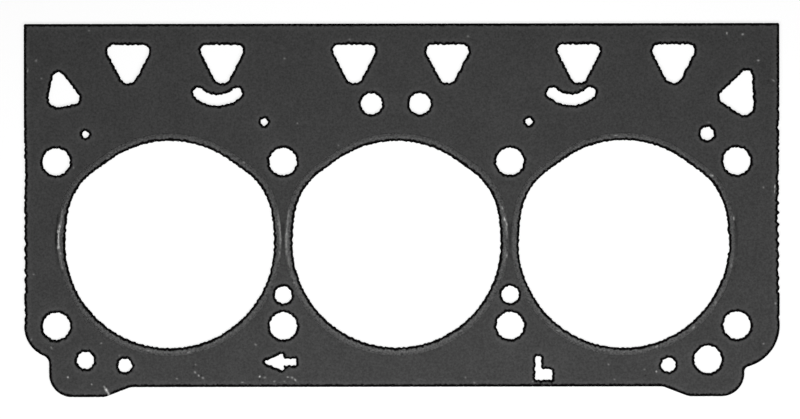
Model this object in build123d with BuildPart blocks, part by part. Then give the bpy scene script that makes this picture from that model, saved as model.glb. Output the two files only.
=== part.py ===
"""Cylinder head gasket for one bank of a V6 engine.

One composite sheet, blanked in a single stroke, seals round the head bolts and the coolant and oil
passages.  Three strips of thin steel, each folded round the edge of a combustion opening, armour it
against the burning gas.

The gasket lies flat.  X runs along the bank, with the engine's front at -X.  Y points to the valley
side.  Z = 0 is the plane that the folded rings rest on, and the origin is on the middle cylinder's
axis.  All sizes are in millimetres.
"""

from build123d import *

import os
from math import acos, cos, degrees, radians, sin

os.makedirs("parts", exist_ok=True)

# ------------------------------------------------------------ cylinders and head bolts
bore_radius = 49.5  # the round lower half of a combustion opening
bridge_width = 8.7  # left between two neighbouring openings
bolt_hole_radius = 6.5
bolt_row_inset = 10.5  # each row of bolts lies this far inside the bores' tangent line

bore_pitch = 2 * bore_radius + bridge_width
bore_columns = {"front": -bore_pitch, "middle": 0.0, "rear": bore_pitch}
bolt_row = bore_radius - bolt_row_inset
inner_bolt = bore_pitch / 2
outer_bolt = 3 * bore_pitch / 2

# ------------------------------------------------------------ upper half of an opening
# It follows the combustion chamber: a crown, flat shoulders, corners and nearly straight sides.
crown_drop = 0.65  # the crown's radius is this much under the bore's
side_radius = 90.0
corner_radius = 30.5
shoulder_angle = 54.4  # from +X, the direction in which the shoulder and the crown meet

# ------------------------------------------------------------ fire rings
ring_steel = 0.25  # thickness of the strip
flange_width = 3.6  # from the opening's edge to the lip
edge_clearance = 0.05  # between the inside of the fold and the sheet's edge

# ------------------------------------------------------------ sheet
sheet_thickness = 1.4
valley_reach = 65.5  # from the upper bolt row to the valley edge
exhaust_reach = 29.0  # from the lower bolt row to the exhaust edge
edge_corner_radius = 0.8
front_boss_radius = 15.3  # round the lower bolt at the front, tangent to the front edge
rear_boss_radius = 20.3
front_boss_blend = 4.0  # hollow fillet between the boss and the lobe
rear_boss_blend = 2.5

# A lobe at each end of the exhaust edge carries the drain holes.
lobe_overhang = 3.5  # its side, beyond the outer bolt
lobe_drop = 4.7  # its foot, below the exhaust edge
lobe_foot_inset = 22.9  # from the outer bolt to where the ramp starts to rise
lobe_ramp_run = 12.3
lobe_corner_radius = 11.0
lobe_ramp_blend = 7.0

# ------------------------------------------------------------ valley openings
# Six rounded triangles with a point down, two above each cylinder.  Each is the hull of three
# circles.  The offsets are from the cylinder's axis to the pair's two centre lines.
triangle_offsets = {"front": (-19.5, 24.9), "middle": (-20.0, 24.3), "rear": (-21.1, 23.9)}
triangle_edge_gap = 13.1  # from the valley edge to the centres of the upper corners
triangle_half_width = 6.95  # between the upper corners' centres, halved
triangle_height = 11.0  # from the upper corners' centres to the tip's centre
triangle_corner_radius = 3.0
triangle_tip_radius = 4.15

# A smiling slot under one opening at each end: an arc with round ends.
smile_columns = (-bore_pitch + 22.75, bore_pitch - 24.6)
smile_edge_gap = 22.8  # from the valley edge to the arc's centre
smile_radius = 13.6
smile_half_angle = 42.0
smile_width = 4.9

# End ports: hulls of three circles, each (beyond the outer bolt, above the bolt row, radius).
front_port_corners = ((-1.15, 39.6, 2.8), (-8.15, 30.3, 2.9), (-1.05, 30.6, 4.6))
rear_port_corners = ((4.75, 40.4, 2.6), (3.45, 26.4, 4.5), (-5.25, 30.4, 2.9))

# ------------------------------------------------------------ round passages
# Heights are from the bolt row beside the hole, away from the bores unless the name says inside.
pair_middle = -0.3  # two holes above the middle cylinder
pair_spacing = 23.0
pair_height = 27.35
pair_radius = 5.05

vent_offset = 9.0  # outward from the inner bolt
vent_height = 18.85
vent_radius = 1.7

end_hole_inset = 14.0  # inward from the outer bolt
end_hole_height = 13.0
front_end_hole_radius = 1.6
rear_end_hole_radius = 3.2

bridge_hole_inside = 14.75  # from the lower bolt row, towards the bores
bridge_hole_radius = 4.1

lobe_hole_inset = 13.8
lobe_hole_height = 16.2
front_lobe_hole_radius = 4.05
rear_lobe_hole_radius = 6.5

ramp_hole_inset = 32.55
ramp_hole_height = 18.7
front_ramp_hole_radius = 3.25
rear_ramp_hole_radius = 3.4

# ------------------------------------------------------------ orientation windows
arrow_tip_offset = 9.8  # from the inner bolt towards the front
arrow_height = 17.2
arrow_length = 15.9
arrow_head_length = 9.9
arrow_head_width = 8.2
arrow_shaft_width = 3.1
arrow_round = 0.5

side_mark_offset = 11.95  # an L-shaped window, from the inner bolt towards the rear
side_mark_edge_gap = 3.2  # from the exhaust edge
side_mark_height = 11.25
side_mark_stem = 2.8
side_mark_foot = 8.0
side_mark_foot_height = 5.1
side_mark_round = 1.0


def nearest(vertices, points):
    """The vertices of a sketch that lie at the given points."""
    return [vertices.sort_by_distance(point)[0] for point in points]


# ------------------------------------------------------------ the edge of a combustion opening
# The side arc starts on the bore's centre line, where it is tangent to the round lower half.  It
# turns into the corner arc at corner_start, which is where the corner arc's far end has a tangent
# that also touches the crown.
crown_radius = bore_radius - crown_drop
shoulder = radians(shoulder_angle)
corner_start = shoulder - acos(
    (crown_radius - corner_radius + (side_radius - bore_radius) * cos(shoulder))
    / (side_radius - corner_radius)
)
side_centre = bore_radius - side_radius
corner_centre = (
    side_centre + (side_radius - corner_radius) * cos(corner_start),
    (side_radius - corner_radius) * sin(corner_start),
)
corner_sweep = shoulder_angle - degrees(corner_start)

with BuildLine() as opening_edge:
    CenterArc((0, 0), bore_radius, 180, 180)
    side = CenterArc((side_centre, 0), side_radius, 0, degrees(corner_start))
    corner = CenterArc(corner_centre, corner_radius, degrees(corner_start), corner_sweep)
    crown = CenterArc((0, 0), crown_radius, shoulder_angle, 180 - 2 * shoulder_angle)
    shoulder_line = Line(corner @ 1, crown @ 0)
    mirror([side, corner, shoulder_line], about=Plane.YZ)

with BuildSketch() as opening:
    add(opening_edge.line)
    make_face()

# ------------------------------------------------------------ fire rings
# A flat strip is folded into a U round the sheet's edge.  Its section starts as a line down the
# inside of the strip, square like the sheet it wraps.  The steel is added outwards from that line,
# so the outside of each bend is an arc of the steel's thickness.
fold_inside = bore_radius + ring_steel
lip = bore_radius + flange_width
sheet_top = ring_steel + sheet_thickness

for name, column in bore_columns.items():
    with BuildPart() as fire_ring:
        with BuildSketch(Plane.XZ.shift_origin((column, 0, 0))):
            with BuildLine():
                Polyline(
                    (lip, ring_steel),
                    (fold_inside, ring_steel),
                    (fold_inside, sheet_top),
                    (lip, sheet_top),
                )
                offset(amount=ring_steel, side=Side.LEFT)
            make_face()
        sweep(path=opening.wire().moved(Location((column, 0, 0))))
    node = f"{name}_fire_ring"
    fire_ring.part.label = node
    export_step(fire_ring.part, f"parts/{node}.step")

# ------------------------------------------------------------ outline of the sheet
front_edge = -(outer_bolt + front_boss_radius)
rear_edge = outer_bolt + rear_boss_radius
valley_edge = bolt_row + valley_reach
exhaust_edge = -(bolt_row + exhaust_reach)
lobe_foot = exhaust_edge - lobe_drop
lobe_side = outer_bolt + lobe_overhang
foot_end = outer_bolt - lobe_foot_inset
ramp_end = foot_end - lobe_ramp_run

with BuildSketch() as outline:
    with BuildLine():
        front_boss = CenterArc(
            (-outer_bolt, -bolt_row),
            front_boss_radius,
            180,
            degrees(acos(lobe_overhang / front_boss_radius)),
        )
        rear_boss = CenterArc(
            (outer_bolt, -bolt_row),
            rear_boss_radius,
            0,
            -degrees(acos(lobe_overhang / rear_boss_radius)),
        )
        Polyline(
            front_boss @ 0, (front_edge, valley_edge), (rear_edge, valley_edge), rear_boss @ 0
        )
        Polyline(
            front_boss @ 1,
            (-lobe_side, lobe_foot),
            (-foot_end, lobe_foot),
            (-ramp_end, exhaust_edge),
            (ramp_end, exhaust_edge),
            (foot_end, lobe_foot),
            (lobe_side, lobe_foot),
            rear_boss @ 1,
        )
    make_face()
    fillet(
        nearest(outline.vertices(), [(front_edge, valley_edge), (rear_edge, valley_edge)]),
        radius=edge_corner_radius,
    )
    fillet(
        nearest(outline.vertices(), [(-lobe_side, lobe_foot), (lobe_side, lobe_foot)]),
        radius=lobe_corner_radius,
    )
    fillet(
        nearest(
            outline.vertices(),
            [
                (-foot_end, lobe_foot),
                (-ramp_end, exhaust_edge),
                (ramp_end, exhaust_edge),
                (foot_end, lobe_foot),
            ],
        ),
        radius=lobe_ramp_blend,
    )
    fillet(nearest(outline.vertices(), [front_boss @ 1]), radius=front_boss_blend)
    fillet(nearest(outline.vertices(), [rear_boss @ 1]), radius=rear_boss_blend)

# ------------------------------------------------------------ shapes of the openings
# The sheet's opening stands back from the gas side by the ring's steel and a small clearance.
with BuildSketch() as sheet_opening:
    add(opening.sketch)
    offset(amount=ring_steel + edge_clearance)

with BuildSketch() as triangle:
    with Locations((-triangle_half_width, 0), (triangle_half_width, 0)):
        Circle(triangle_corner_radius)
    with Locations((0, -triangle_height)):
        Circle(triangle_tip_radius)
    make_hull()

with BuildSketch() as smile:
    SlotArc(
        CenterArc((0, 0), smile_radius, 270 - smile_half_angle, 2 * smile_half_angle,
                  mode=Mode.PRIVATE),
        smile_width,
    )

with BuildSketch() as front_port:
    for across, height, radius in front_port_corners:
        with Locations((-(outer_bolt + across), bolt_row + height)):
            Circle(radius)
    make_hull()

with BuildSketch() as rear_port:
    for across, height, radius in rear_port_corners:
        with Locations((outer_bolt + across, bolt_row + height)):
            Circle(radius)
    make_hull()

with BuildSketch() as arrow:
    with BuildLine():
        upper_half = Polyline(
            (0, 0),
            (arrow_head_length, arrow_head_width / 2),
            (arrow_head_length, arrow_shaft_width / 2),
            (arrow_length, arrow_shaft_width / 2),
            (arrow_length, 0),
        )
        mirror(upper_half, about=Plane.XZ)
    make_face()
    fillet(arrow.vertices(), radius=arrow_round)

with BuildSketch() as side_mark:
    Rectangle(side_mark_stem, side_mark_height, align=(Align.MIN, Align.MIN))
    Rectangle(side_mark_foot, side_mark_foot_height, align=(Align.MIN, Align.MIN))
    fillet(side_mark.vertices(), radius=side_mark_round)

# ------------------------------------------------------------ the blanked sheet
with BuildPart() as gasket_sheet:
    with BuildSketch(Plane.XY.offset(ring_steel)):
        add(outline.sketch)
        with Locations(*[(column, 0) for column in bore_columns.values()]):
            add(sheet_opening.sketch, mode=Mode.SUBTRACT)
        with GridLocations(bore_pitch, 2 * bolt_row, 4, 2):
            Circle(bolt_hole_radius, mode=Mode.SUBTRACT)

        triangle_row = valley_edge - triangle_edge_gap
        for name, offsets in triangle_offsets.items():
            with Locations(*[(bore_columns[name] + along, triangle_row) for along in offsets]):
                add(triangle.sketch, mode=Mode.SUBTRACT)
        with Locations(*[(column, valley_edge - smile_edge_gap) for column in smile_columns]):
            add(smile.sketch, mode=Mode.SUBTRACT)
        add(front_port.sketch, mode=Mode.SUBTRACT)
        add(rear_port.sketch, mode=Mode.SUBTRACT)

        with Locations((pair_middle, bolt_row + pair_height)):
            with GridLocations(pair_spacing, 1, 2, 1):
                Circle(pair_radius, mode=Mode.SUBTRACT)
        with Locations((0, bolt_row + vent_height)):
            with GridLocations(2 * (inner_bolt + vent_offset), 1, 2, 1):
                Circle(vent_radius, mode=Mode.SUBTRACT)
        with Locations((0, bridge_hole_inside - bolt_row)):
            with GridLocations(bore_pitch, 1, 2, 1):
                Circle(bridge_hole_radius, mode=Mode.SUBTRACT)

        # These come in pairs too, with a different hole at each end.
        for inset, height, front_radius, rear_radius in (
            (end_hole_inset, bolt_row + end_hole_height,
             front_end_hole_radius, rear_end_hole_radius),
            (lobe_hole_inset, -bolt_row - lobe_hole_height,
             front_lobe_hole_radius, rear_lobe_hole_radius),
            (ramp_hole_inset, -bolt_row - ramp_hole_height,
             front_ramp_hole_radius, rear_ramp_hole_radius),
        ):
            with Locations((inset - outer_bolt, height)):
                Circle(front_radius, mode=Mode.SUBTRACT)
            with Locations((outer_bolt - inset, height)):
                Circle(rear_radius, mode=Mode.SUBTRACT)

        with Locations((-inner_bolt - arrow_tip_offset, -bolt_row - arrow_height)):
            add(arrow.sketch, mode=Mode.SUBTRACT)
        with Locations((inner_bolt + side_mark_offset, exhaust_edge + side_mark_edge_gap)):
            add(side_mark.sketch, mode=Mode.SUBTRACT)
    extrude(amount=sheet_thickness)

gasket_sheet.part.label = "gasket_sheet"
export_step(gasket_sheet.part, "parts/gasket_sheet.step")
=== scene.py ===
# %% [markdown]
# # A cylinder head gasket
# The gasket seals the joint between a V6's block and one of its cylinder heads. It is a sheet with
# a soft, nearly black facing, blanked to shape in one stroke of the press. A strip of thin steel is
# folded round the edge of each of the three combustion openings.
#
# The solid model of the part holds the true sizes. Here the same four pieces get what a solid
# doesn't have: cuts that are a little ragged and rolled over at the edge, ends that broke back
# where the press cut through the sheet's core, folds that aren't all alike, and their finishes,
# with the marks of handling and painted highlights, sheen and shade about the rings.
#
# Every surface is worked out with numpy in millimetres and goes into its mesh in metres.

import math

import bpy
import numpy as np
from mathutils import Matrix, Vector
from mathutils.geometry import delaunay_2d_cdt


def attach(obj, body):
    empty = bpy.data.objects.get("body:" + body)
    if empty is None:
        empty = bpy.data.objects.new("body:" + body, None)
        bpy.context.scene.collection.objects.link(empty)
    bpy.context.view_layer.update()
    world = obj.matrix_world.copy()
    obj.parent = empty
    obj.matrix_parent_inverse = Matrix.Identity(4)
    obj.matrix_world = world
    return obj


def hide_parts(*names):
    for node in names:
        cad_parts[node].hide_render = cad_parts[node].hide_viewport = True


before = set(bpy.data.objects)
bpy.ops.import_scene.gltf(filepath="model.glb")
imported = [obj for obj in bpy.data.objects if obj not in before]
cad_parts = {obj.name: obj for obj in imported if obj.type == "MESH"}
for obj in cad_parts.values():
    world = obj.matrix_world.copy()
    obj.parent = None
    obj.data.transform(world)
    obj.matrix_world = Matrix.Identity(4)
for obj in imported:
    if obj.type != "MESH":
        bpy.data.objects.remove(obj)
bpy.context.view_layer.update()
scene = bpy.context.scene
MM = 0.001
print("solid model:", sorted(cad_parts))

# %% [markdown]
# ## Outlines
# A punched outline is made of arcs, each tangent to the straight line that leads to the next, so it
# can be written as a list of arcs alone: centre, radius, first angle and last angle. The travelling
# direction tells which side of it is sheet. A round hole is one arc of 360 degrees.
#
# The other ways are a curve object or a boolean cut. Both would give a flat face with no control
# over where its points lie, and the rolled edges need rows of points beside each cut.

# %% Walking along an outline
def walk(arcs, step):
    """Points along a closed outline of arcs (x, y, radius, first angle, last angle), in degrees.

    On an arc a point is centre + radius * (cos a, sin a). From the end of each arc a straight line
    leads to the next. Both are divided evenly into pieces no longer than the step, and an arc into
    pieces of 22.5 degrees at most. A point within 0.0001 mm of the next one is left out.
    """
    runs = []
    for x, y, radius, first, last in arcs:
        turn = abs(last - first)
        count = math.ceil(max(math.radians(turn) * radius / step, turn / 22.5, 1))
        angle = np.radians(np.linspace(first, last, count + 1))
        runs.append(np.c_[x + radius * np.cos(angle), y + radius * np.sin(angle)])
    walked = []
    for run, after in zip(runs, runs[1:] + runs[:1]):
        gap = after[0] - run[-1]
        count = max(math.ceil(np.hypot(*gap) / step), 1)
        share = np.linspace(0, 1, count, endpoint=False)[1:, None]
        walked += [run, run[-1] + share * gap]
    walked = np.vstack(walked)
    apart = np.hypot(*(np.roll(walked, -1, 0) - walked).T)
    return walked[apart > 1e-4]


def rounded(corners, radii):
    """The arcs that round the corners of a polygon, each touching both sides of its corner.

    An arc of radius r in a corner that turns by t starts r * tan(t / 2) before the corner, and its
    centre is square to the side there, on the side to which the outline turns.
    """
    corners = np.array(corners, float)
    radii = np.broadcast_to(radii, len(corners))
    arcs = []
    for before, corner, after, radius in zip(
        np.roll(corners, 1, 0), corners, np.roll(corners, -1, 0), radii
    ):
        inward, onward = corner - before, after - corner
        heading = math.degrees(math.atan2(inward[1], inward[0]))
        turn = (math.degrees(math.atan2(onward[1], onward[0])) - heading + 180) % 360 - 180
        side = math.copysign(1, turn)
        forward = inward / np.hypot(*inward)
        start = corner - forward * radius * math.tan(math.radians(abs(turn)) / 2)
        centre = start + side * radius * np.array([-forward[1], forward[0]])
        first = heading - 90 * side
        arcs.append((*centre, radius, first, first + turn))
    return arcs


def hull(circles):
    """The arcs of a band stretched round circles (x, y, radius), which are given anticlockwise.

    The straight part from one circle to the next touches both of them at the same angle: the
    direction between the centres, less the arc cosine of (difference of radii / distance).
    """
    angles = []
    for (x, y, r), (x_next, y_next, r_next) in zip(circles, circles[1:] + circles[:1]):
        apart = math.hypot(x_next - x, y_next - y)
        direction = math.atan2(y_next - y, x_next - x)
        angles.append(math.degrees(direction - math.acos((r - r_next) / apart)))
    arcs = []
    for (x, y, r), first, last in zip(circles, angles[-1:] + angles[:-1], angles):
        arcs.append((x, y, r, first, first + (last - first) % 360))
    return arcs


def moved(arcs, across, up):
    """The same arcs, moved."""
    return [(x + across, y + up, *rest) for x, y, *rest in arcs]


# %% [markdown]
# ## Sizes
# These repeat the solid model's sizes, because the new surfaces have to lie exactly where its
# surfaces are. The origin is on the middle cylinder's axis, and the rings rest on Z = 0.

# %% Sizes shared with the solid model
bore_radius = 49.5
bore_pitch = 107.7
bore_columns = {"front": -bore_pitch, "middle": 0.0, "rear": bore_pitch}
bolt_row = 39.0
inner_bolt, outer_bolt = bore_pitch / 2, 1.5 * bore_pitch
valley_edge = bolt_row + 65.5
exhaust_edge = -(bolt_row + 29.0)

ring_steel = 0.25
flange_width = 3.6
edge_clearance = 0.05
sheet_thickness = 1.4
sheet_bottom = ring_steel
sheet_top = ring_steel + sheet_thickness
ring_top = sheet_top + ring_steel
print(f"sheet from {sheet_bottom} to {sheet_top} mm, rings from 0 to {ring_top} mm")

# %% [markdown]
# ### The combustion opening
# Its lower half is the bore's circle. The upper half follows the combustion chamber: nearly
# straight sides, corners, flat shoulders and a crown. Each arc is tangent to the next, which fixes
# the angle at which the side turns into the corner.

# %% The combustion opening
side_radius, corner_radius, crown_radius, shoulder = 90.0, 30.5, 48.85, 54.4
side_centre = bore_radius - side_radius
corner_start = shoulder - math.degrees(math.acos(
    (crown_radius - corner_radius - side_centre * math.cos(math.radians(shoulder)))
    / (side_radius - corner_radius)
))
corner_x = side_centre + (side_radius - corner_radius) * math.cos(math.radians(corner_start))
corner_y = (side_radius - corner_radius) * math.sin(math.radians(corner_start))
opening = [
    (0, 0, bore_radius, 180, 360),
    (side_centre, 0, side_radius, 0, corner_start),
    (corner_x, corner_y, corner_radius, corner_start, shoulder),
    (0, 0, crown_radius, shoulder, 180 - shoulder),
    (-corner_x, corner_y, corner_radius, 180 - shoulder, 180 - corner_start),
    (-side_centre, 0, side_radius, 180 - corner_start, 180),
]
edge_stand_back = ring_steel + edge_clearance
sheet_opening = [(x, y, r + edge_stand_back, *turn) for x, y, r, *turn in opening]
print(f"the opening's side turns into its corner at {corner_start:.2f} degrees")

# %% [markdown]
# ### The outer edge
# Walked anticlockwise from the front edge. A boss stands round the lower bolt at each end, a hollow
# blend leads from it to the lobe, and ramps lead from the lobes to the long exhaust edge.

# %% The outer edge
front_boss, rear_boss = 15.3, 20.3
front_blend, rear_blend, corner_round = 4.0, 2.5, 0.8
front_edge, rear_edge = -(outer_bolt + front_boss), outer_bolt + rear_boss
lobe_side, lobe_foot = outer_bolt + 3.5, exhaust_edge - 4.7
foot_end, ramp_end = outer_bolt - 22.9, outer_bolt - 22.9 - 12.3


def boss_blend(boss, blend):
    """Height of the blend's centre, and the angle below level at which it touches the boss."""
    reach = lobe_side + blend - outer_bolt
    drop = math.sqrt((boss + blend) ** 2 - reach**2)
    return -bolt_row - drop, math.degrees(math.atan2(drop, reach))


front_height, front_touch = boss_blend(front_boss, front_blend)
rear_height, rear_touch = boss_blend(rear_boss, rear_blend)
lower_edge = rounded(
    [(-lobe_side, front_height), (-lobe_side, lobe_foot), (-foot_end, lobe_foot),
     (-ramp_end, exhaust_edge), (ramp_end, exhaust_edge), (foot_end, lobe_foot),
     (lobe_side, lobe_foot), (lobe_side, rear_height)],
    [0, 11, 7, 7, 7, 7, 11, 0],
)[1:-1]
outer_edge = [
    (-outer_bolt, -bolt_row, front_boss, 180, 180 + front_touch),
    (-lobe_side - front_blend, front_height, front_blend, front_touch, 0),
    *lower_edge,
    (lobe_side + rear_blend, rear_height, rear_blend, 180, 180 - rear_touch),
    (outer_bolt, -bolt_row, rear_boss, -rear_touch, 0),
    (rear_edge - corner_round, valley_edge - corner_round, corner_round, 0, 90),
    (front_edge + corner_round, valley_edge - corner_round, corner_round, 90, 180),
]
print(f"outer edge: {len(outer_edge)} arcs, {rear_edge - front_edge:.1f} mm long")

# %% [markdown]
# ### Holes and windows
# Most holes are round. The valley side has rounded triangles and two ports, which are bands round
# three circles, and two smiling slots, which are arcs with round ends. An arrow and an L are cut
# through the sheet to say which way round and which way up it goes.

# %% Holes and windows
def circle(x, y, radius):
    return [(x, y, radius, 0, 360)]


triangle = hull([(6.95, 0, 3.0), (-6.95, 0, 3.0), (0, -11.0, 4.15)])
triangle_columns = [-bore_pitch - 19.5, -bore_pitch + 24.9, -20.0, 24.3,
                    bore_pitch - 21.1, bore_pitch + 23.9]

smile_radius, smile_width = 13.6, 4.9
smile_from, smile_to = 270 - 42, 270 + 42


def smile_end(angle, first):
    """The round end of the slot, half as wide across as the slot, on the slot's middle line."""
    turned = math.radians(angle)
    return (smile_radius * math.cos(turned), smile_radius * math.sin(turned),
            smile_width / 2, first, first + 180)


smile = [
    (0, 0, smile_radius + smile_width / 2, smile_from, smile_to),
    smile_end(smile_to, smile_to),
    (0, 0, smile_radius - smile_width / 2, smile_to, smile_from),
    smile_end(smile_from, smile_from - 180),
]
front_port = hull([
    (1.15 - outer_bolt, bolt_row + 39.6, 2.8), (1.05 - outer_bolt, bolt_row + 30.6, 4.6),
    (8.15 - outer_bolt, bolt_row + 30.3, 2.9),
])
rear_port = hull([
    (outer_bolt + 4.75, bolt_row + 40.4, 2.6), (outer_bolt - 5.25, bolt_row + 30.4, 2.9),
    (outer_bolt + 3.45, bolt_row + 26.4, 4.5),
])
arrow = rounded([(0, 0), (9.9, -4.1), (9.9, -1.55), (15.9, -1.55),
                 (15.9, 1.55), (9.9, 1.55), (9.9, 4.1)], 0.5)
side_mark = rounded([(0, 0), (8.0, 0), (8.0, 5.1), (2.8, 5.1), (2.8, 11.25), (0, 11.25)], 1.0)

triangle_height, smile_height = valley_edge - 13.1, valley_edge - 22.8
smile_columns = [-bore_pitch + 22.75, bore_pitch - 24.6]
windows = [moved(triangle, column, triangle_height) for column in triangle_columns]
windows += [moved(smile, column, smile_height) for column in smile_columns]
windows += [front_port, rear_port, moved(arrow, -inner_bolt - 9.8, -bolt_row - 17.2),
            moved(side_mark, inner_bolt + 11.95, exhaust_edge + 3.2)]
bolt_radius = 6.5
round_holes = [circle(x, y, bolt_radius) for x in (-outer_bolt, -inner_bolt, inner_bolt, outer_bolt)
               for y in (-bolt_row, bolt_row)]
round_holes += [circle(*hole) for hole in (
    (-11.8, bolt_row + 27.35, 5.05), (11.2, bolt_row + 27.35, 5.05),
    (-inner_bolt - 9, bolt_row + 18.85, 1.7), (inner_bolt + 9, bolt_row + 18.85, 1.7),
    (-inner_bolt, 14.75 - bolt_row, 4.1), (inner_bolt, 14.75 - bolt_row, 4.1),
    (14 - outer_bolt, bolt_row + 13, 1.6), (outer_bolt - 14, bolt_row + 13, 3.2),
    (13.8 - outer_bolt, -bolt_row - 16.2, 4.05), (outer_bolt - 13.8, -bolt_row - 16.2, 6.5),
    (32.55 - outer_bolt, -bolt_row - 18.7, 3.25), (outer_bolt - 32.55, -bolt_row - 18.7, 3.4),
)]
print(f"{len(windows)} windows and {len(round_holes)} round holes")

# %% [markdown]
# ## The sheet
# ### Where the ends broke back
# The core of the sheet is steel pricked all over with small tangs, in rows about 5 mm apart. The
# long cuts at the two ends run through them, so those edges aren't straight: the facing has broken
# back between the tangs, and the tangs stand out like teeth. A table of heights and depths says
# how far, and a smooth step joins each depth to the next.

# %% The broken ends
# height, depth
front_breaks = np.array([
    (103, 0), (66, 0), (50, 0.16), (47.2, 0.3), (46, 0.6), (44.8, 0.18), (43, 0.3), (42, 0.12),
    (39.4, 0.55), (32, 0.68), (30.6, 0.5), (26, 0.45), (24, 0.42), (22.1, 0.05), (20.6, 0.42),
    (19.2, 0.35), (17.2, 0.04), (15.6, 0.1), (14, 0.56), (12, 0.32), (10, 0.6), (8.1, 0.12),
    (7.4, 0.4), (6.4, 0.02), (4.9, 0.6), (2.9, 0.02), (0.2, 0.85), (-2.5, 0.02), (-5, 0.62),
    (-6.5, 0.15), (-8, 0.42), (-11.2, 0.6), (-12.3, 0.0), (-14.7, 0.92), (-16.8, 0.24),
    (-19.5, 0.5), (-22.8, 0.6), (-24, 0.08), (-27.8, 0.16), (-29.5, 0.46), (-31, 0.22),
    (-33.3, 0.72), (-35, 0.27), (-37.2, 0.46), (-39, 0.1),
])
rear_breaks = np.array([
    (103, 0), (77, 0), (74.4, 0.26), (72, 0), (67.5, 0.1), (65, 0), (63.6, 0.74), (61.8, 0),
    (59, 0.05), (57.6, 0.3), (55.2, 0.8), (53, 0.02), (49.4, 0.24), (48.2, 0.55), (47, 0.05),
    (45.4, 0.82), (43.6, 0.05), (42, 0.46), (36, 0.36), (33, 0.44), (30.6, 1.02), (29, 0.5),
    (26, 0.4), (24.6, 0.52), (23.8, 0.32), (21.5, 0.94), (20, 0.9), (18.9, 0.14), (17.8, 0.8),
    (15.6, 1.18), (14.4, 0.0), (13, 1.05), (10, 1.1), (9, 0.03), (7.4, 0.85), (5.6, 1.0),
    (3.9, 0.28), (1, 0.98), (-0.6, 0.24), (-2.9, 0.88), (-5.6, 0.22), (-7.8, 0.74), (-9.5, 0.4),
    (-12.6, 0.84), (-14.6, 0.74), (-16.4, 0.24), (-18.6, 0.68), (-20.8, 0.2), (-22.9, 0.7),
    (-24.2, 0.02), (-31, 0.14), (-34, 0.05), (-35.6, 0.56), (-36.6, 0.18), (-37.6, 0.1), (-39, 0.0),
])


def broken_back(points, depths):
    """How far the edge has broken back at the height of each point: between two heights of the
    table, the share s of the way becomes 3 s^2 - 2 s^3, which starts and ends level."""
    heights, depth = depths[::-1].T
    place = np.interp(points[:, 1], heights, np.arange(len(heights)))
    share = place - np.floor(place)
    step = np.floor(place) + share**2 * (3 - 2 * share)
    return np.interp(step, np.arange(len(heights)), depth)


outer_step = 0.4
outer_points = walk(outer_edge, outer_step)
on_front = np.abs(outer_points[:, 0] - front_edge) < 1e-3
on_rear = np.abs(outer_points[:, 0] - rear_edge) < 1e-3
broken = np.zeros(len(outer_points))
broken[on_front] = broken_back(outer_points[on_front], front_breaks)
broken[on_rear] = broken_back(outer_points[on_rear], rear_breaks)
outer_points[:, 0] -= broken * np.sign(outer_points[:, 0])
print(f"{on_front.sum()} points of the front end and {on_rear.sum()} of the rear end broken back")

# %% [markdown]
# ### Directions and distances
# Two helpers serve all that lies beside an outline.

# %% Directions and distances
def into_sheet(points, sheet_on_left):
    """The direction square to a closed outline at each point, into the sheet: the line from the
    point before to the point after, turned by a quarter."""
    along = np.roll(points, -1, 0) - np.roll(points, 1, 0)
    along /= np.hypot(*along.T)[:, None]
    left = np.c_[-along[:, 1], along[:, 0]]
    return left if sheet_on_left else -left


def nearest(points, others, at_once=2000):
    """The distance from each point to the nearest of the others, and which of them that is. The
    squared distance is |p|^2 - 2 p.q + |q|^2, taken in blocks of points."""
    distance, which = np.empty(len(points)), np.empty(len(points), int)
    size = (others**2).sum(1)
    for rows in np.array_split(np.arange(len(points)), len(points) // at_once + 1):
        block = points[rows]
        squared = (block**2).sum(1)[:, None] - 2 * block @ others.T + size
        which[rows] = squared.argmin(1)
        distance[rows] = np.sqrt(np.maximum(squared.min(1), 0))
    return distance, which


print(f"{len(outer_points)} points on the outer edge, {outer_step} mm apart at most")

# %% [markdown]
# ### Ragged cuts
# A blanked edge is never quite even, least of all where the core's tangs stand at it. Random
# numbers would change with the number of points, but a wave that depends on the place alone gives
# the same edge each time. The outer edge moves inwards only, or outwards by less than it has
# broken back, so it stays in the solid model's box.

# %% Ragged outlines
def uneven(points):
    """A wave of the place between -1 and 1, with no pattern that the eye can follow: half the sum
    of sin(2.1 x + 2 sin(0.8 x + 1.7 y)) and sin(1.9 y + 2 sin(0.7 y - 2.3 x)), in millimetres."""
    x, y = points.T
    first = np.sin(2.1 * x + 2 * np.sin(0.8 * x + 1.7 * y))
    return (first + np.sin(1.9 * y + 2 * np.sin(0.7 * y - 2.3 * x))) / 2


def ragged(points, sheet_on_left, inwards, roughness, least):
    """A closed outline with the unevenness of a blanked edge. Each point moves into the sheet by
    inwards + roughness * the uneven wave, or by the least that is allowed."""
    move = np.maximum(inwards + roughness * uneven(points), least)
    return points + move[:, None] * into_sheet(points, sheet_on_left)


# windows keep their size on average, and round holes are a little narrower
outer_roughness, hole_roughness, round_inset, round_least = 0.2, 0.3, 0.08, -0.35
most_regained, hole_step, hidden_step = 0.8, 0.6, 1.2
cuts = [ragged(outer_points, True, -outer_roughness / 2, outer_roughness,
               -most_regained * broken)]
cuts += [ragged(walk(arcs, hole_step), False, 0.0, hole_roughness, -hole_roughness)
         for arcs in windows]
cuts += [ragged(walk(arcs, hole_step), False, -round_inset, hole_roughness, round_least)
         for arcs in round_holes]
cut_into = [into_sheet(points, i == 0) for i, points in enumerate(cuts)]
ringed = [walk(moved(sheet_opening, column, 0), hidden_step) for column in bore_columns.values()]
ringed_into = [into_sheet(points, False) for points in ringed]
edge_points = np.vstack(cuts + ringed)
edge_into = np.vstack(cut_into + ringed_into)
visible = len(np.vstack(cuts))
print(f"{len(cuts) + len(ringed)} outlines with {len(edge_points)} points, {visible} in sight")
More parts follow.
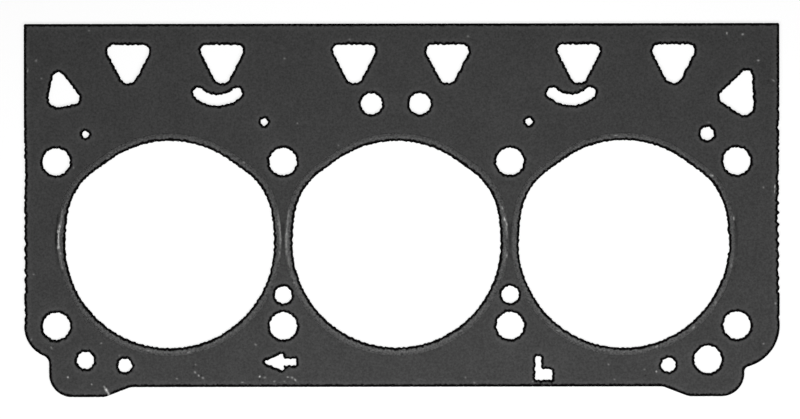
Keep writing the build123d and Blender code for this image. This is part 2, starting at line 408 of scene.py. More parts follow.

# %% [markdown]
# ### Marks of wear
# The facing has light specks, mostly along the exhaust edge and near the valley corners, and a
# scratch that runs over the edge of the front lobe. Other specks lie along the lips of the rings.
# Where a grain has dropped out of the facing there is a pit, with painted shade in it. Each mark is
# a spot that fades outwards, and its strength says how light a speck is, or how dark a pit's shade.

# %% Marks of wear
# across, up, half length, half width, turned by (degrees), strength
marks = np.array([
    (-65, -63, 0.42, 0.36, 60, 0.92), (123.2, -60.9, 0.38, 0.36, 0, 0.71),
    (171.8, 86.7, 0.5, 0.4, 0, 0.54), (-48.2, -64.6, 0.6, 0.34, -60, 0.6),
    (-156.1, -63.2, 0.4, 0.38, 0, 0.76), (164.4, 99.1, 0.5, 0.44, -20, 0.45),
    (-95.7, -61, 0.55, 0.38, -58, 0.48), (-94, -62.5, 0.5, 0.34, -56, 0.44),
    (-92, -63.6, 0.56, 0.44, -25, 0.34), (-49.7, -63.6, 0.6, 0.46, -10, 0.32),
    (-51.8, -63.3, 0.42, 0.3, 0, 0.58), (156.9, 99.6, 0.5, 0.34, -80, 0.67),
    (178.9, 77.2, 0.7, 0.34, -38, 0.37), (-98.7, -51.5, 0.66, 0.44, 45, 0.28),
    (-117.7, -50.6, 0.66, 0.36, -10, 0.32), (-67, -47.8, 0.62, 0.4, -35, 0.26),
    (174.1, -47.8, 0.46, 0.36, 18, 0.24), (-62.6, -63.6, 0.62, 0.42, 10, 0.27),
    (-73.3, -65.7, 0.62, 0.24, 0, 0.32), (-163.8, -49.3, 0.6, 0.36, -50, 0.32),
    (-144.8, -66.6, 0.44, 0.34, -80, 0.36), (-170.9, 87.1, 0.6, 0.52, 60, 0.22),
    (-104.4, -64, 0.5, 0.34, 0, 0.24), (-58.1, -65.3, 0.5, 0.34, 10, 0.23),
    (-48.6, -18.6, 0.5, 0.44, 20, 0.2), (34.1, 98.4, 0.6, 0.44, -40, 0.24),
    (-72.5, 38.7, 0.66, 0.46, -30, 0.22), (-140.3, -47.1, 0.5, 0.36, 30, 0.25),
    (-145.9, 101.3, 0.5, 0.4, 0, 0.21), (-175, 82.4, 0.8, 0.3, 82, 0.41),
    (179.6, 26.8, 0.75, 0.24, 88, 0.81), (179.5, 24.6, 0.75, 0.24, 84, 0.5),
    (179.8, -28.6, 0.5, 0.38, 90, 0.34), (180.2, -2.9, 0.8, 0.4, 0, 0.1),
    (-138.6, -68.1, 0.8, 0.34, -55, 0.44), (-137.8, -69.4, 1, 0.5, -57, 1.2),
    (-136.9, -70.9, 0.9, 0.42, -60, 0.8), (-53, 87.9, 0.5, 0.38, 0, 0.28),
    (100.5, -57.5, 0.5, 0.38, -42, 0.23), (64.5, -65.6, 0.5, 0.38, 0, 0.23),
    (174.2, 26.4, 0.5, 0.38, -49, 0.23), (87.4, 74, 0.5, 0.38, 0, 0.22),
    (-153.3, 36.3, 0.5, 0.38, 77, 0.22), (36.9, -66, 0.5, 0.38, 0, 0.22),
    (-173.3, -45.3, 0.5, 0.38, 46, 0.21), (-131.6, -52.9, 0.5, 0.38, -39, 0.18),
    (-27.5, 46.6, 0.5, 0.38, -63, 0.21), (-46.9, 57.1, 0.5, 0.38, -48, 0.21),
    (103.4, -64.7, 0.5, 0.38, 0, 0.17), (-22.2, 96.9, 0.5, 0.38, 0, 0.16),
    (-172.3, -14.4, 0.5, 0.38, 0, 0.16), (-168.4, 78.6, 0.5, 0.38, 0, 0.19),
    (-95.5, -57.3, 0.5, 0.38, -59, 0.19), (-53.3, -65.4, 0.5, 0.38, 0, 0.15),
    (32.7, -63.6, 0.5, 0.38, -43, 0.18), (148.2, 57.3, 0.5, 0.38, 0, 0.17),
    (117.6, -59.9, 0.5, 0.38, 0, 0.13), (-160.4, -1.6, 0.8, 0.48, -90, 1.9),
    (-160.4, 6, 0.7, 0.46, 84, 1.6), (-159.9, 8.3, 0.8, 0.46, 73, 1.5),
    (-160.4, 1.7, 0.6, 0.4, 90, 1), (-160.4, 3.6, 0.6, 0.4, 90, 1),
    (-159.5, -4.5, 0.7, 0.38, -81, 0.55), (-158.6, -11.1, 0.7, 0.38, -60, 0.32),
    (-158.5, 15.5, 0.7, 0.38, 58, 0.38), (-56, 9.1, 0.7, 0.38, -79, 0.75),
    (-55.1, 2, 0.7, 0.38, 90, 0.68), (-55.5, -4.2, 0.7, 0.38, 79, 0.42),
    (-52.2, 4.4, 0.7, 0.4, 80, 0.8), (51.3, 11.4, 0.8, 0.42, -75, 1.2),
    (52.2, 9, 0.7, 0.42, -78, 1), (52.2, -5.7, 0.7, 0.38, 73, 0.55),
    (50.3, 16.6, 0.7, 0.38, -76, 0.5), (149.6, 32.1, 0.66, 0.4, 0, 0.92),
    (160, 11.7, 0.8, 0.38, 87, 0.6), (140.9, -40, 0.66, 0.38, 45, 0.38),
    (151.4, -28.2, 0.66, 0.38, 50, 0.45), (159, -10.6, 0.7, 0.38, 76, 0.45),
    (104, 51.1, 0.66, 0.38, 0, 0.36), (123.3, -49, 0.66, 0.38, 9, 0.32),
    (76.8, -41.4, 0.66, 0.38, 0, 0.36),
])
# each pit darkens the facing: painted shade in its hollow
pits = np.array([
    (118.1, -62.8, 0.5, 0.45, 0, 0.7), (-65.1, -64.4, 0.5, 0.45, 0, 0.55),
    (-137.8, -67.6, 0.5, 0.45, 0, 0.55), (-65.6, -61.6, 0.5, 0.4, 0, 0.45),
    (-63.2, -62, 0.5, 0.4, 0, 0.45), (-92.7, -62.5, 0.5, 0.4, 0, 0.45),
    (176.7, 77.1, 0.5, 0.4, 0, 0.45), (-96.4, -58.2, 0.5, 0.4, 0, 0.45),
])


def faded(squares):
    """exp(-squares), and no less than exp(-50), which is nothing."""
    return np.exp(-np.minimum(squares, 50))


def spots(points, marks):
    """The strongest mark at each point: strength * exp(-(u^2 + v^2)), where u and v are the
    distances along and across the mark, in its half lengths and half widths."""
    x, y, length, width, turn, strength = marks.T
    turn = np.radians(turn)
    right, up = points[:, :1] - x, points[:, 1:] - y
    u = (right * np.cos(turn) + up * np.sin(turn)) / length
    v = (up * np.cos(turn) - right * np.sin(turn)) / width
    return (strength * faded(u**2 + v**2)).max(1)


def patches(marks):
    """A grid of points under each mark, turned with it, reaching to two half lengths and widths."""
    u, v = np.meshgrid(np.linspace(-2.1, 2.1, 9), np.linspace(-2.1, 2.1, 7))
    x, y, length, width, turn = marks.T[:5, :, None]
    turn = np.radians(turn)
    u, v = u.ravel() * length, v.ravel() * width
    return np.c_[(x + u * np.cos(turn) - v * np.sin(turn)).ravel(),
                 (y + u * np.sin(turn) + v * np.cos(turn)).ravel()]


print(f"{len(marks)} marks and {len(pits)} pits, {len(patches(marks))} points under the marks")

# %% [markdown]
# ### Filling a face
# A face needs points on its outlines, and rows of points beside them, because that is where the
# press has rolled the edge over and where the finish changes. Each row lies a fixed distance into
# the sheet. Where two edges are close, rows would cross, so a point that lies much nearer to
# another edge than to its own is dropped.
#
# The points are joined by a constrained Delaunay triangulation: the outlines stay as they are, and
# every other point is joined to its neighbours by the plumpest triangles. It also fills the holes
# and the hollows of the outer edge, and those triangles are taken out. The height then follows
# from one number, the distance to the nearest cut. Near a cut the face curves down as a quarter of
# an ellipse, which is how a blanked edge rolls over.

# %% A face of the sheet
roll_width, roll_depth = 0.75, 0.22
extra_reach, least_share, merge_below = 0.3, 0.7, 1e-7


def roll(distance):
    """How far the face has dropped at a distance from the cut: a quarter of an ellipse, which is
    depth * (1 - sqrt(1 - (1 - distance / width)^2)), upright at the cut and level at the width."""
    short = np.clip(1 - distance / roll_width, 0, 1)
    return roll_depth * (1 - np.sqrt(1 - short**2))


def in_sheet(points, starts, ends, at_once=1000):
    """Whether each point is inside the outlines: a line from it to the far right then crosses an
    odd number of their sides. A side is crossed if it spans the point's height and meets that
    height at x + (height - y) * dx / dy, to the right of the point."""
    crossings = np.empty(len(points), int)
    run = (ends - starts)[:, 0] / np.where(ends[:, 1] == starts[:, 1], 1, (ends - starts)[:, 1])
    for rows in np.array_split(np.arange(len(points)), len(points) // at_once + 1):
        x, y = points[rows].T[:, :, None]
        spans = (starts[:, 1] > y) != (ends[:, 1] > y)
        crossings[rows] = (spans & (starts[:, 0] + (y - starts[:, 1]) * run > x)).sum(1)
    return crossings % 2 == 1


def face(cut_rows, ring_rows, extra):
    """Points and triangles of one face, and its outlines as pairs of point numbers. The first
    points are those on the outlines, in order."""
    beside, reach = [], []
    for outlines, directions, rows in (
        (cuts, cut_into, cut_rows), (ringed, ringed_into, ring_rows)
    ):
        for points, into in zip(outlines, directions):
            beside += [points + row * into for row in rows]
            reach += [np.full(len(points), row) for row in rows]
    beside = np.vstack([*beside, extra])
    reach = np.concatenate([*reach, np.full(len(extra), extra_reach)])
    distance, which = nearest(beside, edge_points)
    inside = ((beside - edge_points[which]) * edge_into[which]).sum(1) > 0
    kept = inside & (distance > least_share * reach)
    points = np.vstack([edge_points, beside[kept]])
    loops, first = [], 0
    for outline in cuts + ringed:
        number = first + np.arange(len(outline))
        loops.append(np.c_[number, np.roll(number, -1)])
        first += len(outline)
    sides = np.vstack(loops)
    made = delaunay_2d_cdt([Vector(p) for p in points], sides.tolist(), [], 0, merge_below, False)
    if len(made[0]) != len(points):
        raise ValueError(f"{len(points)} points went in and {len(made[0])} came out")
    triangles = np.array(made[2])
    doubtful = np.flatnonzero((triangles < len(edge_points)).all(1))
    starts, ends = edge_points[sides].transpose(1, 0, 2)
    sheet_there = in_sheet(points[triangles[doubtful]].mean(1), starts, ends)
    triangles = np.delete(triangles, doubtful[~sheet_there], 0)
    a, b, c = points[triangles].transpose(1, 2, 0)
    clockwise = (b[0] - a[0]) * (c[1] - a[1]) < (b[1] - a[1]) * (c[0] - a[0])
    triangles[clockwise] = triangles[clockwise][:, ::-1]
    return points, triangles, loops


upper_rows, upper_ring_rows = (
    (0.03, 0.1, 0.24, 0.45, 0.85, 1.25, 1.8, 2.6, 3.6), (0.15, 3.0, 3.35, 3.7, 4.2, 4.8, 5.4))
lower_rows, lower_ring_rows = (0.1, 0.45, 1.1, 2.2), (0.15, 3.3)
top_points, top_triangles, loops = face(
    upper_rows, upper_ring_rows, patches(np.vstack([marks, pits])))
under_points, under_triangles, _ = face(lower_rows, lower_ring_rows, np.empty((0, 2)))
print(f"upper face {len(top_triangles)} triangles, lower face {len(under_triangles)}")

# %% [markdown]
# ### Where the rings press the facing
# Each ring's flange lies on the facing and is pressed a little into it towards its lip, so the lip
# stands less proud than the steel is thick. Just outside the lip the facing rises again.

# %% The flange's press
lip_press, press_starts, press_full, press_ends = 0.1, 2.0, 3.3, 4.1


def smooth(value, low, high):
    """0 below low, 1 above high, and 3 s^2 - 2 s^3 of the share s of the way between."""
    share = np.clip((value - low) / (high - low), 0, 1)
    return share**2 * (3 - 2 * share)


def pressed(across):
    """How far the facing is pressed down at a distance from the opening's edge: the lip's press,
    times a smooth step up before the lip and a smooth step down outside it."""
    rise = smooth(across, press_starts, press_full)
    return lip_press * rise * (1 - smooth(across, flange_width, press_ends))


print(f"the lips are pressed {lip_press} mm into the facing")

# %% [markdown]
# ### Dents, and folds that aren't alike
# One ring's fold has been knocked back beside the long axis, and is a little full above and below
# the dent. The strip kept its thickness, so fold and sheet have moved together, and the flange has
# taken up the difference. Nor did the folding tool bring all three folds equally far into their
# openings, or quite evenly round them.

# %% Dented and uneven folds
# ring, side, height, half length, run-out, depth
dents = [
    ("rear", 1, 0, 4, 0.9, 0.65), ("rear", 1, 12, 2.5, 6, 0.45),
    ("rear", 1, -10.5, 4, 6, 0.38), ("rear", -1, -7, 4, 5, 0.22),
]
fold_reach = {"front": 0.05, "middle": 0.2, "rear": -0.04}
fold_unevenness, least_reach = 0.26, -0.2
gives_from, gives_to = 0.6, 2.6


def dented(ring, places, across):
    """How far the dents push points towards their side: depth * (1 - s) * (1 - t), where s grows
    smoothly over the dent's run-out and t with the distance from the gas side. The points are
    measured from the ring's cylinder."""
    pushed = np.zeros(len(places))
    for name, side, height, half_length, run_out, depth in dents:
        if name == ring:
            past_end = smooth(np.abs(places[:, 1] - height), half_length, half_length + run_out)
            give = 1 - smooth(across, gives_from, gives_to)
            fade = (1 - past_end) * give * (side * places[:, 0] > 0)
            pushed += side * depth * fade
    return pushed


def folded_in(ring, path, across):
    """How far a fold stands into its opening, for each point of the path and of the section:
    (reach + unevenness * the uneven wave) * (1 - t), with t as for a dent. The fold still has to
    cover the sheet's edge, so the first factor is never less than the least reach."""
    wave = uneven(path + (bore_columns[ring], 0))
    reach = np.maximum(fold_reach[ring] + fold_unevenness * wave, least_reach)
    return reach[:, None] * (1 - smooth(across, gives_from, gives_to))


print(f"{len(dents)} dents, and folds that stand {min(fold_reach.values())} to "
      f"{max(fold_reach.values())} mm into their openings")

# %% [markdown]
# ### Putting a surface into a mesh
# Numbers that go with the points are stored as attributes, which the finish reads by name.

# %% A mesh from points and faces
def put_in_mesh(name, points, faces, attributes, material):
    """A mesh object at the origin from points in millimetres, its faces, and a number for each
    point under each attribute's name."""
    mesh = bpy.data.meshes.new(name)
    mesh.from_pydata(points * MM, [], faces)
    for key, values in attributes.items():
        attribute = mesh.attributes.new(key, "FLOAT", "POINT")
        attribute.data.foreach_set("value", values.astype(np.float32))
    mesh.polygons.foreach_set("use_smooth", np.ones(len(faces), bool))
    mesh.materials.append(material)
    mesh.update()
    piece = bpy.data.objects.new(name, mesh)
    scene.collection.objects.link(piece)
    print(f"{name}: {len(points)} points, {sum(len(face) - 2 for face in faces)} triangles")
    return piece


# %% [markdown]
# ### Rubs, painted highlights and painted shade along the lips
# Handling has rubbed the coat off parts of the lips beside the engine's long axis, and the light
# streaks there are painted highlights as well as wear. Beside some rubs the facing is painted dark
# along the lip as shade. Both are streaks that run with the lip: the tables say how high its middle
# is, how far it reaches up and down, and how far across it lies.

# %% Rubs and grooves
# ring, side (-1 towards the front): height, half length, distance, half width, strength
# worn coat and painted highlight: the lips beside the long axis face the side lamps
rub_and_highlight_streaks = {
    ("front", -1): [(3, 5.8, 3.3, 0.36, 1), (11.5, 3.2, 2.6, 0.4, 0.35), (-7.5, 4, 2.8, 0.5, 0.2)],
    ("front", 1): [(6, 8, 3.05, 0.42, 0.35), (-5, 3, 2.8, 0.4, 0.12)],
    ("middle", -1): [(1.5, 7, 2.85, 0.46, 0.36), (11.5, 5, 2.75, 0.45, 0.27),
                     (-8, 3, 2.4, 0.5, 0.16), (-20, 10, 2.4, 0.7, 0.04)],
    ("middle", 1): [(8, 5, 2.9, 0.45, 0.33), (-6.5, 4, 2.4, 0.5, 0.11)],
    ("rear", -1): [(3, 12, 2.8, 0.8, 0.05), (-6, 3, 2.9, 0.4, 0.08)],
    ("rear", 1): [(3, 12, 2.7, 0.7, 0.05), (-8, 5, 2.7, 0.6, 0.08), (-22, 12, 2.8, 0.6, 0.05)],
}
# painted shade on the facing just outside the lips, where it would lie in the lip's shadow
lip_shade_streaks = {
    ("front", -1): [(2.6, 7.2, 4.5, 0.5, 1), (11.5, 3.2, 4.35, 0.45, 0.7),
                    (-8, 3.4, 4.2, 0.4, 0.45)],
    ("front", 1): [(4.2, 6.5, 4.35, 0.42, 0.45)],
    ("middle", -1): [(4.2, 6.5, 4.35, 0.42, 0.45)],
    ("middle", 1): [(9, 1.6, 4.1, 0.35, 0.6), (-5.3, 1, 4.3, 0.35, 0.5)],
    ("rear", 1): [(0.3, 1.6, 4.25, 0.35, 0.6), (11.7, 1.2, 4.9, 0.35, 0.6),
                  (5.5, 1.2, 4.4, 0.3, 0.4), (-11.6, 1.2, 4.5, 0.3, 0.35)],
}


def streaks(table, ring, places, across):
    """The strongest streak of a ring at each point: strength * exp(-(u^4 + v^2)), where u is the
    height from the streak's middle in half lengths, and v the distance from its line in half
    widths. The points are measured from the ring's cylinder."""
    found = np.zeros(len(places))
    for side in (-1, 1):
        on_side = side * places[:, 0] > 0
        for height, half_length, line, half_width, strength in table.get((ring, side), []):
            u, v = (places[:, 1] - height) / half_length, (across - line) / half_width
            found = np.maximum(found, strength * (faded(u**4 + v**2) * on_side))
    return found


print(f"{sum(map(len, rub_and_highlight_streaks.values()))} rubs and {sum(map(len, lip_shade_streaks.values()))} grooves")

# %% [markdown]
# ### Closing the sheet
# The upper face curves down at every cut and the lower face curves up, and a wall joins them. The
# walls use the faces' own outline points, so the sheet is one closed skin with no seam. Three
# numbers go with every point for the finish to read: its distance to the nearest cut in sight,
# how strong a light mark is there, and how strong the painted shade of a groove or a pit.

# %% The sheet's mesh
def lifted(points, towards):
    """A face's points in three dimensions with their distances: from the cuts in sight, and from
    the edge of the nearest combustion opening."""
    cut, _ = nearest(points, edge_points[:visible])
    ring, _ = nearest(points, edge_points[visible:])
    middle = (sheet_top + sheet_bottom) / 2
    half = (sheet_top - sheet_bottom) / 2
    across = ring + edge_stand_back
    height = middle + towards * (half - roll(np.minimum(cut, ring)) - pressed(across))
    pushed = sum(dented(name, points - (column, 0), across)
                 for name, column in bore_columns.items())
    return np.c_[points[:, 0] + pushed, points[:, 1], height], cut, across


facing = bpy.data.materials.new("facing")
steel_coat = bpy.data.materials.new("ring_steel")
upper, upper_cut, upper_across = lifted(top_points, 1)
lower, lower_cut, _ = lifted(under_points, -1)
walls = np.vstack([np.c_[loop, loop[:, ::-1] + len(upper)] for loop in loops])
outer = len(loops[0])
walls[:outer] = walls[:outer, ::-1]  # the sheet is inside this one and outside the others
faces = top_triangles.tolist() + (under_triangles[:, ::-1] + len(upper)).tolist() + walls.tolist()
marked = np.concatenate([spots(top_points, marks), np.zeros(len(lower))])
# painted shade beside the lips and in the pits
painted_shading = [streaks(lip_shade_streaks, name, top_points - (column, 0), upper_across)
           for name, column in bore_columns.items()]
painted_shading = np.maximum(np.max(painted_shading, 0), spots(top_points, pits))
painted_shading = np.concatenate([painted_shading, np.zeros(len(lower))])
plain_beyond = 8
cut = np.minimum(np.concatenate([upper_cut, lower_cut]), plain_beyond)
sheet = put_in_mesh("sheet", np.vstack([upper, lower]), faces,
                    {"cut": cut, "mark": marked, "painted_shade": painted_shading}, facing)
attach(sheet, "root")
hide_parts("gasket_sheet")

# %% [markdown]
# ## The fire rings
# Each ring is a strip of thin steel folded into a U round the sheet's edge. Its section is drawn
# once, with arcs as the outlines are, and carried round the opening: across is the distance from
# the gas side, up is the height. The nose of the fold is rounder than the solid model's, and both
# flanges bend towards each other at the lip, where they are pressed into the facing. A sweep of a
# curve object would give the same skin, but no say over which point is how far round and across,
# which the finish needs.

# %% The ring's section
nose, section_step = 0.5, 0.4
fold = ring_steel / 2
lip_round = ring_steel / 2 - 0.01  # less than half, so a little of the lip stays upright
section = walk([
    (nose, nose, nose, 180, 270),
    (flange_width - lip_round, lip_round, lip_round, 270, 360),
    (flange_width - lip_round, ring_steel - lip_round, lip_round, 0, 90),
    (ring_steel + fold, ring_steel + fold, fold, 270, 180),
    (ring_steel + fold, sheet_top - fold, fold, 180, 90),
    (flange_width - lip_round, sheet_top + lip_round, lip_round, 270, 360),
    (flange_width - lip_round, ring_top - lip_round, lip_round, 0, 90),
    (nose, ring_top - nose, nose, 90, 180),
], section_step)
half_way = ring_top / 2
bend = pressed(np.minimum(section[:, 0], flange_width))
section[:, 1] -= np.sign(section[:, 1] - half_way) * bend
wide, high = np.ptp(section, 0)
print(f"section of {len(section)} points, {wide:.2f} by {high:.2f} mm")

# %% [markdown]
# ### Round the openings
# The section goes round the opening's outline, and each point keeps four numbers for the finish:
# its distance across the flange, its distance along the outline, how far the coat is rubbed or a
# highlight painted, and how much painted sheen lightens the coat. The rubs are the streaks above,
# and the marks of wear that lie on a lip.

# %% The rings' meshes
def carried(section, path, outwards):
    """The section carried round a path: at each point of the path, across is measured outwards and
    up is up. It closes on itself both ways, so each square joins a point to its neighbours."""
    places = path[:, None] + section[None, :, :1] * outwards[:, None]
    heights = np.broadcast_to(section[:, 1], places.shape[:2])
    numbers = np.arange(heights.size).reshape(heights.shape)
    after, beside = np.roll(numbers, -1, 0), np.roll(numbers, -1, 1)
    squares = np.stack([numbers, after, np.roll(after, -1, 1), beside], -1).reshape(-1, 4)
    return np.c_[places.reshape(-1, 2), heights.ravel()], squares


def painted_sheen_level(path):
    """Painted sheen round the opening: level - swing * (x^2 - y^2) / (x^2 + y^2), which is
    lightest at the crown and the foot and darkest beside the long axis."""
    level, swing = 0.985, 0.085
    x, y = path.T
    return level - swing * (x**2 - y**2) / (x**2 + y**2)


for name, column in bore_columns.items():
    path = walk(opening, hole_step)
    outwards = into_sheet(path, False)
    points, squares = carried(section, path, outwards)
    across = np.tile(section[:, 0], len(path))
    stands_in = folded_in(name, path, section[:, 0]).ravel()
    points[:, :2] -= stands_in[:, None] * np.repeat(outwards, len(section), 0)
    along = np.hypot(*(np.roll(path, -1, 0) - path).T).cumsum()
    upper_side = points[:, 2] > half_way
    # the rub number is worn coat and painted highlight on the lips, with the specks that lie there
    rub_and_highlight = np.maximum(streaks(rub_and_highlight_streaks, name, points, across),
                     spots(points[:, :2] + (column, 0), marks)) * upper_side
    points[:, 0] += dented(name, points, across)
    # the coat number is a painted sheen: lighter at the crown and the foot of each opening
    ring = put_in_mesh(
        f"{name}_ring", points + (column, 0, 0), squares.tolist(),
        {"across": across, "along": np.repeat(along, len(section)), "rub_and_highlight": rub_and_highlight,
         "coat": np.repeat(painted_sheen_level(path), len(section))}, steel_coat)
    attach(ring, "root")
    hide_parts(f"{name}_fire_ring")

# %% [markdown]
# ## Finishes
# Both finishes are nearly black. What tells them apart is how they take the light and where they
# are worn, so each is a few layers of procedural pattern over one grey. Patterns that belong to the
# surface as a whole read Object coordinates, which are metres and are scaled to millimetres here.
# Patterns that follow an edge read the numbers stored with the points.

# %% Helpers for node trees
def add(tree, kind, inputs=None, **settings):
    """A new node. An input given as a socket is linked, and any other value is set."""
    node = tree.nodes.new(kind)
    for key, value in settings.items():
        setattr(node, key, value)
    for key, value in (inputs or {}).items():
        if isinstance(value, bpy.types.NodeSocket):
            tree.links.new(value, node.inputs[key])
        else:
            node.inputs[key].default_value = value
    return node


def stored(tree, name):
    """The number stored with each point under this name."""
    return add(tree, "ShaderNodeAttribute", attribute_name=name).outputs["Fac"]


def maths(tree, operation, *values):
    """What a Math node makes of the values."""
    return add(tree, "ShaderNodeMath", dict(enumerate(values)), operation=operation).outputs[0]


def times(tree, a, b):
    return maths(tree, "MULTIPLY", a, b)


def plus(tree, a, b):
    return maths(tree, "ADD", a, b)


def rescaled(tree, value, low, high, new_low, new_high):
    """The value, with low to high taken to new_low to new_high, and no further."""
    ends = {0: value, 1: low, 2: high, 3: new_low, 4: new_high}
    return add(tree, "ShaderNodeMapRange", ends).outputs[0]


def curve(tree, value, stops, longest):
    """A factor that changes with the value by straight steps between stops (value, factor)."""
    ramp = add(tree, "ShaderNodeValToRGB", {0: rescaled(tree, value, 0.0, longest, 0.0, 1.0)})
    points = ramp.color_ramp.elements
    while len(points) < len(stops):
        points.new(0.5)
    for point, (place, factor) in zip(points, stops):
        point.position = place / longest
    for point, (place, factor) in zip(points, stops):
        point.color = (factor, factor, factor, 1)
    return ramp.outputs[0]


def millimetres(tree):
    """Object coordinates in millimetres."""
    place = add(tree, "ShaderNodeTexCoord").outputs["Object"]
    return add(tree, "ShaderNodeMapping", {0: place, "Scale": (1000, 1000, 1000)}).outputs[0]


def mottle(tree, place, size, detail=2.0, roughness=0.5):
    """Noise from 0 to 1 whose blotches are about this many millimetres across."""
    return add(tree, "ShaderNodeTexNoise", {
        "Vector": place, "Scale": 1 / size, "Detail": detail, "Roughness": roughness}).outputs[0]


def wavering(tree, value, place, size, reach):
    """The value, moved up or down by as much as the reach in blotches of this size."""
    noise = rescaled(tree, mottle(tree, place, size), 0.3, 0.7, -reach, reach)
    return plus(tree, value, noise)


def grained(tree, grey, noise, share):
    """The grey, darker by this share where the noise is low and lighter by it where it is high.
    Noise lies mostly between 0.25 and 0.75."""
    return times(tree, grey, rescaled(tree, noise, 0.25, 0.75, 1 - share, 1 + share))


def shade(tree, shader, colour, normal, roughness):
    """Links a finish to its shader, and takes the gloss down to that of a matt coat."""
    tree.links.new(colour, shader.inputs["Base Color"])
    tree.links.new(normal, shader.inputs["Normal"])
    tree.links.new(roughness, shader.inputs["Roughness"])
    shader.inputs["Specular IOR Level"].default_value = 0.02


def emptied(owner):
    """The emptied node tree of a material or a world."""
    owner.use_nodes = True
    owner.node_tree.nodes.clear()
    return owner.node_tree


def start(material):
    """An emptied node tree with one shader on its output, and the shader."""
    tree = emptied(material)
    shader = add(tree, "ShaderNodeBsdfPrincipled")
    add(tree, "ShaderNodeOutputMaterial", {"Surface": shader.outputs[0]})
    return tree, shader


# %% [markdown]
# ### The facing
# A matt composite, a little patchy, and marked by the core's tangs under it. Beside every cut the
# facing is near-black in a band about 1.2 mm wide, and a faint pale line follows.
# The tangs lie in staggered rows. The product of two cosines, one along and one across, is high at
# the corners and at the middle of each cell, which is the same staggered pattern.

# %% The facing's finish
# distance from the cut, factor on the facing's grey
from_the_cut = [(0, 0.0), (1.0, 0.02), (1.38, 0.97), (1.75, 1.3), (2.2, 1.24), (3.2, 1.05),
                (4.0, 1.0)]
facing_grey, worn_white = 0.0565, (0.7, 0.7, 0.69, 1)
tang_pitch, facing_relief = (5.08, 4.97), 0.03

tree, shader = start(facing)
place = millimetres(tree)
fine, patchy = mottle(tree, place, 1.0, 3.0, 0.6), mottle(tree, place, 14.0)
cut = wavering(tree, stored(tree, "cut"), place, 1.3, 0.3)
grey = times(tree, curve(tree, cut, from_the_cut, 4.0), facing_grey)
grey = grained(tree, grey, fine, 0.32)
grey = times(tree, grey, rescaled(tree, patchy, 0.3, 0.7, 0.95, 1.05))
# painted shade: grooves beside the lips and pits take the facing down to a twentieth of its grey
grey = times(tree, grey, rescaled(tree, stored(tree, "painted_shade"), 0.0, 1.0, 1.0, 0.05))
mark = times(tree, stored(tree, "mark"), rescaled(tree, fine, 0.3, 0.6, 0.6, 1.1))
colour = add(tree, "ShaderNodeMix", {0: mark, 6: grey, 7: worn_white}, data_type="RGBA")
across_up = add(tree, "ShaderNodeSeparateXYZ", {0: place})
waves = [maths(tree, "COSINE", times(tree, across_up.outputs[i], math.tau / pitch))
         for i, pitch in enumerate(tang_pitch)]
# only the tops of the product stand up, so a tang is a small round rise
tangs = rescaled(tree, times(tree, *waves), 0.55, 1.0, 0.0, 1.0)
relief = plus(tree, times(tree, tangs, 0.35), times(tree, fine, 0.5))
bump = add(tree, "ShaderNodeBump", {
    "Height": relief, "Strength": 0.5, "Distance": facing_relief * MM})
roughness = rescaled(tree, fine, 0.3, 0.7, 0.62, 0.78)
shade(tree, shader, colour.outputs[2], bump.outputs[0], roughness)
print("facing:", len(tree.nodes), "nodes")

# %% [markdown]
# ### The coated steel
# The same dark coat, thinner over steel, so it is a little lighter and smoother. It stays black
# round the nose of the fold, lightens on the flange and darkens again towards the lip, and a
# painted sheen lightens it at the crown and the foot of each opening. Where it is rubbed through,
# fine lines that run with the lip let bare steel shine, and a highlight is painted there too.

# %% The rings' finish
# distance from the gas side, factor on the coat's grey
from_the_nose = [(0, 0.0), (1.05, 0.02), (1.42, 1.72), (1.9, 1.82), (2.4, 1.56), (3.0, 1.27),
                 (3.35, 1.2), (3.6, 1.45)]
# bare steel, and the painted highlight where the lips are rubbed
coat_grey, bare_steel_and_highlight = 0.055, (0.62, 0.62, 0.61, 1)
coat_relief = 0.02

tree, shader = start(steel_coat)
place = millimetres(tree)
fine = mottle(tree, place, 1.0, 3.0, 0.6)
across, along = stored(tree, "across"), stored(tree, "along")
wavy = wavering(tree, across, place, 1.4, 0.32)
grey = times(tree, curve(tree, wavy, from_the_nose, 4.0), coat_grey)
# painted sheen: the coat lighter at the crown and the foot, darker beside the long axis
grey = times(tree, grained(tree, grey, fine, 0.7), stored(tree, "coat"))
lines = add(tree, "ShaderNodeCombineXYZ", {0: times(tree, along, 0.5), 1: times(tree, across, 2.2)})
streaky = mottle(tree, lines.outputs[0], 1.0, 2.0)
# worn coat and painted highlight along the lips
rub_and_highlight = times(tree, stored(tree, "rub_and_highlight"), rescaled(tree, streaky, 0.35, 0.6, 0.3, 1.25))
colour = add(tree, "ShaderNodeMix", {0: rub_and_highlight, 6: grey, 7: bare_steel_and_highlight}, data_type="RGBA")
relief = plus(tree, times(tree, streaky, 0.5), fine)
bump = add(tree, "ShaderNodeBump", {
    "Height": relief, "Strength": 0.4, "Distance": coat_relief * MM})
roughness = rescaled(tree, rub_and_highlight, 0.0, 0.8, 0.6, 0.4)
shade(tree, shader, colour.outputs[2], bump.outputs[0], roughness)
print("coated steel:", len(tree.nodes), "nodes")

# %% [markdown]
# ## The table, the light and the camera
# The gasket lies on a pale table under a long soft lamp, with a weaker one at each side, as on a
# copying stand. The camera looks straight down from far off, so the walls of the holes don't show.
# The table looks white to the camera but keeps the gasket's soft shadow: a part of what the camera
# sees of it is its own glow, which lights nothing.

# %% The table
def seen_directly(tree):
    """1 for what the camera sees itself, in a gloss or through glass, and 0 for light that a
    surface gathers: the largest of three of Light Path's numbers."""
    path = add(tree, "ShaderNodeLightPath")
    seen = path.outputs["Is Camera Ray"]
    for kind in ("Is Glossy Ray", "Is Transmission Ray"):
        seen = maths(tree, "MAXIMUM", seen, path.outputs[kind])
    return seen


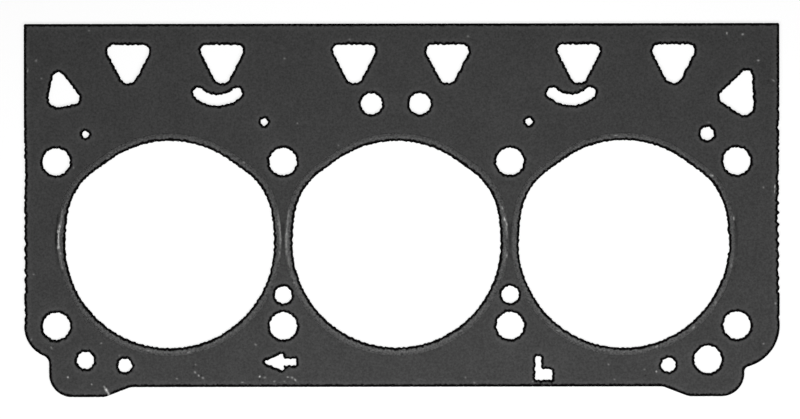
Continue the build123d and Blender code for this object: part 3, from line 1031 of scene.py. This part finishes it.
half_width, below = 3.0, -2e-5
table_grey, table_glow, glowing_share = 0.8, 1.22, 0.66
table = bpy.data.meshes.new("table")
table.from_pydata([(x * half_width, y * half_width, below)
                   for x, y in ((-1, -1), (1, -1), (1, 1), (-1, 1))], [], [(0, 1, 2, 3)])
table = bpy.data.objects.new("table", table)
scene.collection.objects.link(table)
pale = bpy.data.materials.new("pale_table")
tree = emptied(pale)
glow = add(tree, "ShaderNodeEmission", {"Strength": table_glow})
matt = add(tree, "ShaderNodeBsdfDiffuse", {"Color": (table_grey, table_grey, table_grey, 1)})
share = times(tree, seen_directly(tree), glowing_share)
both = add(tree, "ShaderNodeMixShader", {0: share, 1: matt.outputs[0], 2: glow.outputs[0]})
add(tree, "ShaderNodeOutputMaterial", {"Surface": both.outputs[0]})
table.data.materials.append(pale)
print(f"table {2 * half_width:.0f} m square")

# %% The lamps
def lamp(name, place, width, depth, power):
    """A soft rectangular lamp that faces the gasket. Place, width and depth are in metres."""
    light = bpy.data.lights.new(name, "AREA")
    light.shape, light.size, light.size_y, light.energy = "RECTANGLE", width, depth, power
    made = bpy.data.objects.new(name, light)
    made.location = place
    made.rotation_euler = (-Vector(place)).to_track_quat("-Z", "Y").to_euler()
    made.visible_camera = False
    scene.collection.objects.link(made)


lamp("over", (0.02, -0.16, 0.36), 0.6, 0.25, 1.82)
lamp("front_side", (-1.1, 0.0, 1.0), 0.5, 0.9, 1.5)
lamp("rear_side", (1.1, 0.0, 1.0), 0.5, 0.9, 1.5)
print("three lamps")

# %% The room
air_lights, air_seen = 0.1, 1.0
world = bpy.data.worlds.new("room")
scene.world = world
tree = emptied(world)
strength = rescaled(tree, seen_directly(tree), 0.0, 1.0, air_lights, air_seen)
air = add(tree, "ShaderNodeBackground", {"Color": (1, 1, 1, 1), "Strength": strength})
add(tree, "ShaderNodeOutputWorld", {"Surface": air.outputs[0]})
scene.view_settings.view_transform = "Standard"

# %% The camera
seen_width, seen_middle = 379.7, (1.66, 16.18)
turned = -0.085
lens, sensor = 200.0, 36.0
camera = bpy.data.objects.new("camera", bpy.data.cameras.new("camera"))
camera.data.lens, camera.data.sensor_width = lens, sensor
away = sheet_top + seen_width * lens / sensor
camera.location = np.array([*seen_middle, away]) * MM
camera.rotation_euler = (0, 0, math.radians(turned))
camera.data.clip_start, camera.data.clip_end = 0.1, 20
scene.collection.objects.link(camera)
scene.camera = camera
print(f"camera {away:.0f} mm above the table")
